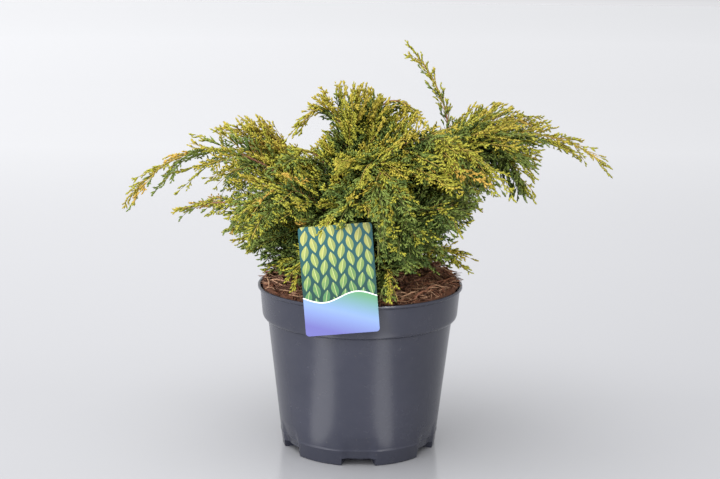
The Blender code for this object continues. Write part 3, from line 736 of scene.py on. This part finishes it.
# %% Habits
HABIT_PLACES = (0.25, 0.50, 0.75, 1.0)
PLAIN = {
    "tone": 0.0, "widths": (1.0, 1.0, 1.0, 0.55), "crown": (0.35, 0.40, 0.50, 0.50), "hang": 0.10,
    "sag": 1.5, "amber": 0.03, "end": 0.975, "strays": 0.15, "close": 1.0,
}
HABITS = {
    "left_long": {"tone": 0.15, "widths": (1.0, 1.0, 0.40, 0.22), "crown": (0.3, -0.3, 0.1, 0.1), "hang": 0.1,
                  "sag": 1.2, "strays": 0.5, "close": 0.50, "end": 0.955},
    "left_high": {"tone": 0.42, "widths": (1.0, 0.95, 0.85, 0.45), "crown": (0.7, 0.7, 0.6, 0.5), "hang": 0.5,
                  "sag": 0.8, "amber": 0.08, "end": 0.92},
    "left_low": {"tone": 0.08, "widths": (1.0, 0.80, 0.32, 0.18), "sag": 0.7, "amber": 0.24, "close": 0.8},
    "left_skirt": {"tone": 0.06, "widths": (1.0, 1.1, 1.15, 1.10), "crown": (0.3, 0.3, 0.2, 0.2), "hang": 0.8,
                   "close": 2.0},
    "left_inner": {"tone": 0.08, "amber": 0.08},
    "mid_left": {"tone": 0.06, "widths": (1.3, 1.35, 0.55, 0.30), "crown": (-0.3, -0.4, -0.2, 0.4),
                 "hang": -0.75, "sag": 1.3, "amber": 0.0, "strays": 0.0, "close": 1.4},
    "centre_left": {"tone": -0.02, "widths": (1.0, 0.95, 0.70, 0.40), "crown": (0.2, 0.2, 0.4, 0.6)},
    "top": {"tone": 0.03, "widths": (1.3, 1.35, 0.50, 0.30), "crown": (-0.4, -0.4, 0.4, 0.9), "sag": 1.3,
            "amber": 0.0, "end": 0.90, "strays": 0.0, "close": 1.4},
    "spike": {"tone": -0.20, "widths": (0.36, 0.38, 0.34, 0.24), "sag": 0.3, "strays": 0.0, "end": 0.95,
              "close": 1.4},
    "sweep_right": {"tone": 0.08, "widths": (0.9, 1.0, 0.70, 0.35), "crown": (0.1, 0.2, 0.8, 0.9), "hang": 0.6,
                    "sag": 1.8, "amber": 0.10},
    "front_nod": {"tone": 0.08, "widths": (1.0, 1.0, 0.85, 0.45), "hang": 0.6, "sag": 2.4, "amber": 0.06},
    "front_left": {"tone": 0.0, "widths": (1.0, 1.0, 0.80, 0.40), "amber": 0.12},
    "front_mid": {"tone": -0.04},
    "front_right": {"tone": -0.08, "widths": (1.0, 1.0, 0.60, 0.35)},
    "front_inner": {"tone": -0.08},
    "front_low_right": {"tone": 0.14, "widths": (1.0, 0.80, 0.60, 0.45)},
    "front_low_left": {"tone": 0.05, "widths": (1.0, 0.90, 0.60, 0.45)},
    "right_high": {"tone": -0.01, "widths": (1.0, 1.1, 0.75, 0.25), "crown": (0.9, -0.1, 0.1, 0.5), "sag": 0.5,
                   "end": 0.93, "strays": 0.05},
    "right_back": {"tone": 0.0, "widths": (1.0, 1.1, 0.80, 0.25), "crown": (0.8, 0.0, 0.0, 1.4), "sag": 0.6,
                   "strays": 0.05},
    "right_long": {"tone": 0.13, "widths": (1.0, 0.90, 0.46, 0.26), "crown": (0.5, 0.5, 0.0, 0.3), "hang": 0.0,
                   "sag": 0.4, "strays": 0.0},
    "right_mid": {"tone": -0.24, "widths": (1.0, 0.80, 0.50, 0.30), "hang": 0.3, "sag": 0.9},
    "right_inner": {"tone": -0.24, "widths": (1.0, 0.90, 0.60, 0.40), "hang": 0.5},
    "right_low": {"tone": 0.28, "widths": (0.9, 0.70, 0.50, 0.40), "hang": 0.4, "sag": 1.5, "strays": 0.0,
                  "close": 1.4},
    "back_left": {"tone": 0.05, "widths": (0.9, 0.9, 0.8, 0.5), "crown": (0.6, 0.6, 0.5, 0.5)},
    "back_low": {"tone": -0.10},
    "back_low_right": {"tone": 0.02, "widths": (1.0, 0.8, 0.6, 0.3)},
}


def habit(name):
    """A plume's tone, the widths along it, how much shorter its upward branches are along it, how much
    longer the hanging ones are, how they sag, the shares of amber and stray ones, how closely they sit,
    and where it ends."""
    return {**PLAIN, **HABITS.get(name, {})}


# %% Room for the foliage
PROUD = 0.012
BOX_LOW, BOX_HIGH = (np.array(corner) for corner in cad_box)
EYE = np.array([-0.0009, -1.762, 0.638])
SKYLINE = np.array((
    (-0.346, 0.335), (-0.328, 0.379), (-0.305, 0.393), (-0.282, 0.408), (-0.267, 0.424), (-0.242, 0.445),
    (-0.227, 0.461), (-0.205, 0.457), (-0.194, 0.465), (-0.168, 0.477), (-0.130, 0.469), (-0.116, 0.452),
    (-0.107, 0.435), (-0.091, 0.430), (-0.084, 0.417), (-0.062, 0.439), (-0.048, 0.454), (-0.038, 0.470),
    (-0.029, 0.487), (-0.023, 0.512), (-0.009, 0.525), (0.011, 0.523), (0.021, 0.508), (0.029, 0.500),
    (0.060, 0.488), (0.090, 0.472), (0.096, 0.463), (0.124, 0.458), (0.139, 0.484), (0.157, 0.494),
    (0.185, 0.496), (0.207, 0.489), (0.230, 0.477), (0.263, 0.466), (0.296, 0.454), (0.326, 0.434),
    (0.351, 0.412), (0.356, 0.400),
)).T
CREST_LINE = np.array((
    (-0.107, 0.441), (-0.088, 0.472), (-0.077, 0.486), (-0.067, 0.504), (-0.052, 0.523), (-0.009, 0.525),
    (0.011, 0.523), (0.029, 0.497),
)).T
CREST_UNDERLINE = np.array((
    (-0.110, 0.425), (-0.100, 0.436), (-0.069, 0.452), (-0.041, 0.460), (-0.030, 0.300),
)).T
UNDERLINE = np.array((
    (-0.349, 0.325), (-0.321, 0.349), (-0.300, 0.360), (-0.279, 0.362), (-0.269, 0.325), (-0.244, 0.325),
    (-0.221, 0.331), (-0.197, 0.304), (-0.177, 0.288), (-0.151, 0.277), (-0.144, 0.253), (-0.087, 0.233),
    (-0.085, 0.200), (0.130, 0.200), (0.135, 0.300), (0.150, 0.318), (0.161, 0.332), (0.170, 0.355),
    (0.189, 0.367), (0.212, 0.362), (0.252, 0.354), (0.256, 0.424), (0.290, 0.427), (0.309, 0.416),
    (0.335, 0.397), (0.355, 0.393),
)).T


def unit(vector):
    return vector / np.linalg.norm(vector)


def card_frame():
    stand = Matrix.Rotation(math.pi / 2 - CARD_LEAN, 4, "X") @ Matrix.Rotation(CARD_TURN, 4, "Z")
    return Matrix.Translation(CARD_BOTTOM) @ stand


CARD_INVERSE = np.array(card_frame().inverted())


def over_label(point):
    """Whether a sprig here would cut the label or hang in front of it, apart from its upper left corner."""
    x, y, z = CARD_INVERSE[:3, :3] @ point + CARD_INVERSE[:3, 3]
    if abs(x) > CARD_WIDTH / 2 + 0.003 or not -0.003 < y < CARD_HEIGHT + 0.002:
        return False
    over_corner = y > CARD_HEIGHT - 0.013 + 0.5 * x and z > 0.003
    return z > -0.004 and not over_corner


def over_mix(point):
    """Whether a sprig here would hide the mix that lies open on both sides of the label."""
    x, y, z = point
    low = 0.258 if x < 0.0 else 0.279
    return (x < -0.072 or x > 0.052) and y < 0.06 and z < low - 0.22 * (y + 0.14)


def blocked(point):
    """Whether a sprig has no room here, because of the pot, the mix or the label."""
    radius = math.hypot(point[0], point[1])
    if point[2] < POT_HEIGHT + 0.004 and radius > RIM_RADIUS - 0.011:
        return True
    if radius <= RIM_RADIUS - 0.007 and point[2] < heap(point[0], point[1]) + 0.004:
        return True
    return over_label(point) or over_mix(point)


def outside(point):
    """Whether this lies further out than the foliage may stand proud of the solids' box."""
    return np.any(point < BOX_LOW - PROUD) or np.any(point > BOX_HIGH + PROUD)


def bounds_of(name, along):
    """The upper and lower line that hold a plume's branches here, or none where it stands clear of the bush."""
    if name in ("spike", "right_low"):
        return None
    return (CREST_LINE, CREST_UNDERLINE) if name == "mid_left" and along > 0.6 else (SKYLINE, UNDERLINE)


def off_outline(point, lines, slack=0.0):
    """Whether this lies beyond the lines, seen from the front onto the plane through the axis."""
    if lines is None:
        return False
    x, _, z = EYE + (point - EYE) * EYE[1] / (EYE[1] - point[1])
    return z > np.interp(x, *lines[0]) + slack or z < np.interp(x, *lines[1]) - slack


# %% Branching
BRANCH_SPACING = 0.0034
SPRIG_SPACING = 0.0056
SHORTEST_BRANCH = 0.007
CLOTHED_FROM = 0.50
CLOTHED_SPACING = 0.0055


def branch_frame(plume):
    """The direction across the plane in which the arch lies."""
    start, middle, end = plume_path(plume, np.array([0.0, 0.5, 1.0]))
    return unit(np.cross(middle - start, end - start))


class Branch:
    """A side branch: it leaves the stem at an angle, bends forward and nods under its weight."""

    marks = np.linspace(0.0, 1.0, 7)

    def __init__(self, draw, plume, manner, flat, t, along, turn):
        self.root, ahead = plume_path(plume, np.array([t, t + 0.01]))
        stem = unit(ahead - self.root)
        over = np.cross(stem, flat)
        over *= 1.0 if over[2] >= 0.0 else -1.0
        side = flat * math.cos(turn) + over * math.sin(turn)
        self.width = np.interp(along, (0.0, *HABIT_PLACES), (0.7, *manner["widths"]))
        opening = math.radians(draw.uniform(34, 56) * (0.55 + 0.45 * self.width))
        self.way = stem * math.cos(opening) + side * math.sin(opening)
        share = self.width * draw.uniform(0.60, 1.10)
        if self.width < 0.6 and draw.random() < manner["strays"]:
            share *= 1.8
        crown = np.interp(along, HABIT_PLACES, manner["crown"])
        self.length = min(1.30, share) * plume[4]
        self.length *= 1.0 - side[2] * (crown if side[2] > 0 else manner["hang"])
        self.bend = stem * 0.45 - np.array([0.0, 0.0, draw.uniform(0.15, 0.50) * manner["sag"]])
        self.tilt = unit(np.cross(self.way, np.cross(over, self.way) + draw.normal(0.0, 0.25, 3)))
        self.amber = draw.random() < manner["amber"]
        self.lines = bounds_of(plume[0], along)
        self.lay()
        while self.length > SHORTEST_BRANCH and self.pokes_out():
            self.length *= 0.88
            self.lay()

    def lay(self):
        way = np.outer(self.marks, self.way)
        self.points = self.root + (way + np.outer(self.marks ** 2, self.bend) * 0.55) * self.length

    def pokes_out(self):
        end = self.points[-1] + self.heading(1.0) * 0.007
        return outside(end) or off_outline(end, self.lines)

    def at(self, out):
        return np.array([np.interp(out, self.marks, self.points[:, axis]) for axis in range(3)])

    def heading(self, out):
        return unit(self.way + self.bend * out * 1.1)

    def fits(self):
        tip, halfway = self.points[-1], self.points[3]
        return self.length > SHORTEST_BRANCH and not (blocked(tip) or blocked(halfway))


def dress(draw, branch, along, tone):
    """The sprigs of one branch, alternating on its two sides, as rows of place, heading, tilt, length, light."""
    sprigs = []
    count = max(1, int(branch.length / SPRIG_SPACING))
    for number in range(count):
        out = (number + 1) / count
        place = branch.at(out)
        ahead = branch.heading(out)
        side = 0 if number == count - 1 else (1 if number % 2 else -1)
        spread = math.radians(draw.uniform(28, 48)) * side
        flank = np.cross(branch.tilt, ahead)
        head = unit(ahead * math.cos(spread) + flank * math.sin(spread) + draw.normal(0.0, 0.13, 3))
        left = branch.length * (1.0 - out)
        length = min(0.032, 0.013 + 0.40 * left) * draw.uniform(0.7, 1.15)
        tip = place + head * length
        slack = draw.normal(0.005, 0.002)
        if blocked(place) or blocked(tip) or outside(tip) or off_outline(tip, branch.lines, slack):
            continue
        # The light value sets the sprig's colour. Outer sprigs are lighter for the real gold of sunlit tips. Sprigs
        # lower down or under their branch are darker: painted shade.
        above = (place[2] - branch.root[2]) / max(branch.length, 0.02)
        light = 0.40 + 0.20 * out + 0.16 * along + 0.22 * above + 1.0 * (place[2] - 0.36) + tone
        sprigs.append((*place, *head, *branch.tilt, length, light + draw.normal(0.0, 0.03)))
    return sprigs


def clothe(draw, plume, run, steps, manner):
    """The sprigs that sit on the outer half of a stem and point along it, so that no bare end shows."""
    flat = branch_frame(plume)
    sprigs = []
    count = int(run[-1] * (manner["end"] - CLOTHED_FROM) / CLOTHED_SPACING)
    for number in range(count):
        along = CLOTHED_FROM + (manner["end"] - CLOTHED_FROM) * (number + 1) / count
        share = np.interp(along * run[-1], run, steps)
        place, ahead = plume_path(plume, np.array([share, share + 0.01]))
        head = unit(unit(ahead - place) + draw.normal(0.0, 0.16, 3))
        tilt = unit(np.cross(head, flat) + draw.normal(0.0, 0.4, 3))
        length = draw.uniform(0.011, 0.015)
        tip = place + head * length
        if blocked(place) or outside(tip) or off_outline(tip, bounds_of(plume[0], along), 0.018):
            continue
        # Lighter towards the tip for the real gold of the tips, and darker lower down: painted shade.
        light = 0.62 + 0.20 * along + 1.0 * (place[2] - 0.36) + manner["tone"]
        sprigs.append((*place, *head, *tilt, length, light + draw.normal(0.0, 0.08)))
    return sprigs


def grow(plume, index):
    """The stem of one plume as two tubes, inner and outer, its branches with their sprigs, and its own."""
    draw = np.random.default_rng(500 + index)
    steps = np.linspace(0.0, 1.0, 200)
    path = plume_path(plume, steps)
    run = np.concatenate([[0.0], np.cumsum(np.linalg.norm(np.diff(path, axis=0), axis=1))])
    flat = branch_frame(plume)
    radii = np.interp(steps, [0.0, 0.3, 1.0], [0.0030, 0.0018, 0.0005])
    manner = habit(plume[0])
    last = int(200 * manner["end"])
    stems = [tube_arrays(path[own], radii[own], 5) for own in (slice(56, 123, 6), slice(122, last, 7))]
    count = int(run[-1] * 0.90 * manner["close"] / BRANCH_SPACING)
    branches = []
    for number in range(count):
        along = 0.10 + (manner["end"] - 0.12) * (number + 0.5) / count
        turn = number * math.radians(137.5) + draw.uniform(-0.4, 0.4)
        branch = Branch(draw, plume, manner, flat, np.interp(along * run[-1], run, steps), along, turn)
        if draw.random() > 0.15 + 0.85 * branch.width or not branch.fits():
            continue
        sprigs = dress(draw, branch, along, manner["tone"] + draw.normal(0.0, 0.14))
        if sprigs:
            branches.append((branch, sprigs))
    return stems, branches, clothe(draw, plume, run, steps, manner)


# %% Light on the sprigs
# Each sprig's colour stands partly for the plant's real gold in the sun and partly for painted shade. Sprigs low down
# or under much foliage are painted darker green, as shade would make them look.
COVER_CELL = 0.010
COVER_STEPS = 6
COVER_PAINTED_SHADE = 0.72
GOLD_FROM, LIME_FROM, MID_FROM = 0.86, 0.55, 0.25


def cover(places, weights):
    """How much foliage lies above and outside each place: 0 in the open, 1 deep in the bush."""
    low = places.min(axis=0) - COVER_CELL * (COVER_STEPS + 1)
    size = ((places.max(axis=0) - low) / COVER_CELL).astype(int) + COVER_STEPS + 3
    amount = np.zeros(size)
    np.add.at(amount, tuple(((places - low) / COVER_CELL).astype(int).T), weights)
    outward = places * (1.0, 1.0, 0.0)
    outward /= np.linalg.norm(outward, axis=1, keepdims=True)
    upward = np.array([0.0, 0.0, 1.0])
    total = np.zeros(len(places))
    for way in (upward, outward, (upward + outward) * math.sqrt(0.5)):
        for step in range(1, COVER_STEPS + 1):
            there = places + way * (step * COVER_CELL)
            total += amount[tuple(((there - low) / COVER_CELL).astype(int).T)]
    return np.minimum(1.0, total / np.percentile(total, 90))


def sprig_colours(light, amber):
    """The colour of each sprig by its painted light: deep green in painted shade, up to gold, or amber, in full light.
    """
    colours = np.full(len(light), DEEP)
    colours[light > MID_FROM] = MID
    colours[light > LIME_FROM] = LIME
    colours[light > GOLD_FROM] = GOLD
    colours[amber & (light > LIME_FROM)] = BRONZE
    return colours


# %% Leaves
MOST_FACES = 190000


def leaf_arrays(rows, old):
    """All these sprigs as one pair of arrays, each from the template nearest to its length and age."""
    parts = []
    place, head, normal, length = rows[:, 0:3], rows[:, 3:6], rows[:, 6:9], rows[:, 9]
    side = np.cross(normal, head)
    side /= np.linalg.norm(side, axis=1, keepdims=True)
    basis = np.stack([head, side, np.cross(head, side)], axis=1)
    sizes = np.argmin(np.abs(length[:, None] - np.array(SPRIG_LENGTHS)), axis=1)
    kinds = np.arange(len(rows)) % 2 + 2 * old
    for number, own_length in enumerate(SPRIG_LENGTHS):
        for kind, (points, faces) in enumerate(TEMPLATES[number]):
            chosen = np.flatnonzero((sizes == number) & (kinds == kind))
            if not len(chosen):
                continue
            made = np.einsum("pk,nkj->npj", points, basis[chosen])
            made = made * (length[chosen] / own_length)[:, None, None] + place[chosen][:, None, :]
            offsets = (np.arange(len(chosen)) * len(points))[:, None, None]
            parts.append((made.reshape(-1, 3), (faces[None] + offsets).reshape(-1, 3)))
    return joined(parts)


def add_leaves(rows, colour, nodes):
    """The sprigs of one colour, in pieces that each stay under the most faces."""
    points, faces = leaf_arrays(rows, colour in (MID, DEEP))
    pieces = math.ceil(len(faces) / MOST_FACES)
    for number, own in enumerate(np.array_split(faces.reshape(-1, 6, 3), pieces)):
        first, last = own.min(), own.max()
        mesh = array_mesh("leaves", points[first:last + 1], own.reshape(-1, 3) - first, smooth=False)
        add_piece(f"leaves_{LEAF_COLOURS[colour][0]}_{number}", mesh, leaf_materials[colour], nodes)
    print("faces of", LEAF_COLOURS[colour][0], len(faces))


def make_foliage():
    shoots = {"golden": [], "green": [], "brown": []}
    branches, stem_sprigs = [], []
    for index, plume in enumerate(PLUMES):
        (inner, outer), own, along_stem = grow(plume, index)
        shoots["brown"].append(inner)
        shoots["golden" if habit(plume[0])["tone"] > 0.08 else "brown"].append(outer)
        branches += own
        stem_sprigs += along_stem
    rows = np.array([row for _, sprigs in branches for row in sprigs] + stem_sprigs)
    owner = np.repeat(np.arange(len(branches)), [len(sprigs) for _, sprigs in branches])
    # Sprigs under much foliage lose light here: painted shade in their colour.
    light = rows[:, 10] - COVER_PAINTED_SHADE * cover(rows[:, 0:3], rows[:, 9])
    amber = np.zeros(len(rows), bool)
    amber[:len(owner)] = np.array([branch.amber for branch, _ in branches])[owner]
    colours = sprig_colours(light, amber)
    # A branch's shoot is golden where its sprigs are light and green where they are in painted shade.
    for number, (branch, _) in enumerate(branches):
        kind = "golden" if light[:len(owner)][owner == number].mean() > LIME_FROM else "green"
        shoots[kind].append(tube_arrays(branch.points, np.linspace(0.0009, 0.0004, len(branch.marks)), 3))
    nodes = [f"foliage_{plume[0]}" for plume in PLUMES]
    for name, (first, second) in SHOOT_COLOURS.items():
        mesh = array_mesh("shoots", *joined(shoots[name]))
        add_piece(f"shoots_{name}", mesh, shoot_bark(name, first, second), nodes)
    for colour in range(len(LEAF_COLOURS)):
        add_leaves(rows[colours == colour], colour, nodes)
    print("branches:", len(branches), "sprigs:", len(rows))


make_foliage()

# %% [markdown]
# ## Label
# A glossy card hangs in front of the rim. Its print is a generic leafy panel over a soft gradient.

# %% Label
STRAP_PLACE = 0.14
STRAP_RADIUS = 0.0009


def card_outline():
    half = CARD_WIDTH / 2 - CARD_CORNER
    top = CARD_HEIGHT - CARD_CORNER
    outline = []
    for number, (x, y) in enumerate(((half, top), (-half, top), (-half, CARD_CORNER), (half, CARD_CORNER))):
        for step in range(9):
            angle = (number + step / 8) * math.pi / 2
            outline.append((x + CARD_CORNER * math.cos(angle), y + CARD_CORNER * math.sin(angle), 0.0, 1.0))
    return outline


def make_card():
    curve = bpy.data.curves.new("label_card", "CURVE")
    curve.dimensions = "2D"
    curve.fill_mode = "BOTH"
    curve.extrude = 0.00035
    curve.bevel_depth = 0.00005
    outline = card_outline()
    spline = curve.splines.new("POLY")
    spline.points.add(len(outline) - 1)
    for point, place in zip(spline.points, outline):
        point.co = place
    spline.use_cyclic_u = True
    curve.materials.append(label_print())
    card = bpy.data.objects.new("label_card", curve)
    bpy.context.scene.collection.objects.link(card)
    card.matrix_world = card_frame()
    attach(card, "root")
    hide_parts("label")
    pieces.append(card)
    return card


def make_strap():
    """The soft plastic strap: up from the card, and round the bough in a loop."""
    plume = next(plume for plume in PLUMES if plume[0] == "front_left")
    bough, ahead = plume_path(plume, np.array([STRAP_PLACE, STRAP_PLACE + 0.01]))
    heading = unit(ahead - bough)
    side = unit(np.cross(heading, [0.0, 0.0, 1.0]))
    up = np.cross(side, heading)
    radius = 0.0036 + STRAP_RADIUS
    angles = np.linspace(-math.pi / 2, 1.5 * math.pi, 33)
    loop = bough + np.outer(np.cos(angles), side) * radius + np.outer(np.sin(angles), up) * radius
    frame_of_card = card_frame()
    low, high = (np.array(frame_of_card @ Vector((0.0, CARD_HEIGHT + step, 0.0))) for step in (-0.004, 0.006))
    rise = np.linspace(0.0, 1.0, 12)[:, None]
    run = low * (1 - rise) ** 2 + high * 2 * rise * (1 - rise) + loop[0] * rise ** 2
    path = np.vstack([run[:-1], loop])
    mesh = array_mesh("label_strap", *tube_arrays(path, np.full(len(path), STRAP_RADIUS), 8))
    tree = Tree("strap_plastic")
    wear = tree.noise(200.0, 3.0)
    colour = tree.mix(wear, (0.03, 0.16, 0.13), (0.05, 0.24, 0.18))
    return add_piece("label_strap", mesh, tree.finish(Base_Color=colour, Roughness=0.3 + wear * 0.1))


card = make_card()
strap = make_strap()
print("label hung at", [round(value, 3) for value in card.matrix_world.translation])

# %% [markdown]
# ## Floor, light and camera
# The photograph is a studio shot: a pale floor, a white surround and broad soft lights. The camera was
# fitted on the marks of the ruler behind the pot.

# %% Stage
def make_floor():
    mesh = bpy.data.meshes.new("floor")
    size = 200.0
    mesh.from_pydata([(-size, -size, 0), (size, -size, 0), (size, size, 0), (-size, size, 0)], [], [(0, 1, 2, 3)])
    floor = bpy.data.objects.new("floor", mesh)
    tree = Tree("floor")
    depth = tree.node("ShaderNodeSeparateXYZ", {}, {"Vector": tree.place()}, 1)
    far = tree.node("ShaderNodeMapRange", {}, {"Value": depth, "From Min": 0.2, "From Max": 3.6})
    colour = tree.mix(far, (0.600, 0.603, 0.622), (0.95, 0.955, 0.97))
    mesh.materials.append(tree.finish(Base_Color=colour, Roughness=0.17))
    bpy.context.scene.collection.objects.link(floor)
    floor.location.z = -0.0002


def area_light(name, place, target, size, power, colour=(1.0, 1.0, 1.0)):
    light = bpy.data.lights.new(name, "AREA")
    light.shape = "RECTANGLE"
    light.size, light.size_y = size
    light.energy = power
    light.color = colour
    obj = bpy.data.objects.new(name, light)
    obj.location = place
    obj.rotation_euler = (Vector(target) - Vector(place)).to_track_quat("-Z", "Y").to_euler()
    bpy.context.scene.collection.objects.link(obj)
    return obj


def light_only(lights, receivers):
    """Keep these lights off everything but the receivers, as flags would."""
    group = bpy.data.collections.new("lit_by_" + lights[0].name)
    for piece in receivers:
        group.objects.link(piece)
    for light in lights:
        light.light_linking.receiver_collection = group


def low_bar(name, azimuth, width, power):
    """A bar that lies in front of the pot and faces up: the tapering side mirrors it as a bright band."""
    place = Vector((math.sin(azimuth) * 0.46, -math.cos(azimuth) * 0.46, 0.003))
    bar = area_light(name, place, place + Vector((0.0, 0.0, 1.0)), (width, 0.62), power)
    bar.data.shape = "ELLIPSE"
    bar.rotation_euler = (math.pi, 0.0, azimuth)
    bar.visible_camera = False
    return bar


def make_surround():
    """A white studio, brighter on its left than on its right."""
    world = bpy.data.worlds.new("studio")
    world.use_nodes = True
    nodes, links = world.node_tree.nodes, world.node_tree.links
    across = nodes.new("ShaderNodeSeparateXYZ")
    bright = nodes.new("ShaderNodeMapRange")
    bright.inputs["From Min"].default_value = -0.6
    bright.inputs["From Max"].default_value = 0.6
    bright.inputs["To Min"].default_value = 1.14
    bright.inputs["To Max"].default_value = 0.62
    links.new(nodes.new("ShaderNodeTexCoord").outputs["Generated"], across.inputs[0])
    links.new(across.outputs["X"], bright.inputs["Value"])
    links.new(bright.outputs["Result"], nodes["Background"].inputs["Strength"])
    nodes["Background"].inputs["Color"].default_value = (0.97, 0.975, 1.0, 1.0)
    bpy.context.scene.world = world


def make_camera():
    camera = bpy.data.objects.new("camera", bpy.data.cameras.new("camera"))
    camera.data.lens = 62.75
    camera.data.sensor_width = 36.0
    camera.data.clip_start = 0.01
    pitch = Matrix.Rotation(math.radians(90 - 10.88), 4, "X")
    roll = Matrix.Rotation(math.radians(0.61), 4, "Z")
    camera.matrix_world = Matrix.Translation((-0.0009, -1.762, 0.638)) @ pitch @ roll
    bpy.context.scene.collection.objects.link(camera)
    bpy.context.scene.camera = camera


make_floor()
middle = (0.0, 0.0, 0.25)
strips = [
    area_light("strip_left", (-1.10, -1.32, 0.80), middle, (0.24, 1.2), 30, (0.97, 0.98, 1.0)),
    area_light("strip_right", (0.88, -1.55, 0.80), middle, (0.13, 1.2), 19, (1.0, 0.98, 0.93)),
]
light_only(strips, pieces)
bars = [
    low_bar("bar_left", math.radians(-40.0), 0.16, 0.42),
    low_bar("bar_right", math.radians(26.0), 0.12, 0.30),
]
light_only(bars, [piece for piece in pieces if piece.name == "pot_fine"])
area_light("top", (-0.3, -0.3, 2.2), middle, (1.8, 1.8), 20)
make_surround()
bpy.context.scene.view_settings.view_transform = "Standard"
make_camera()
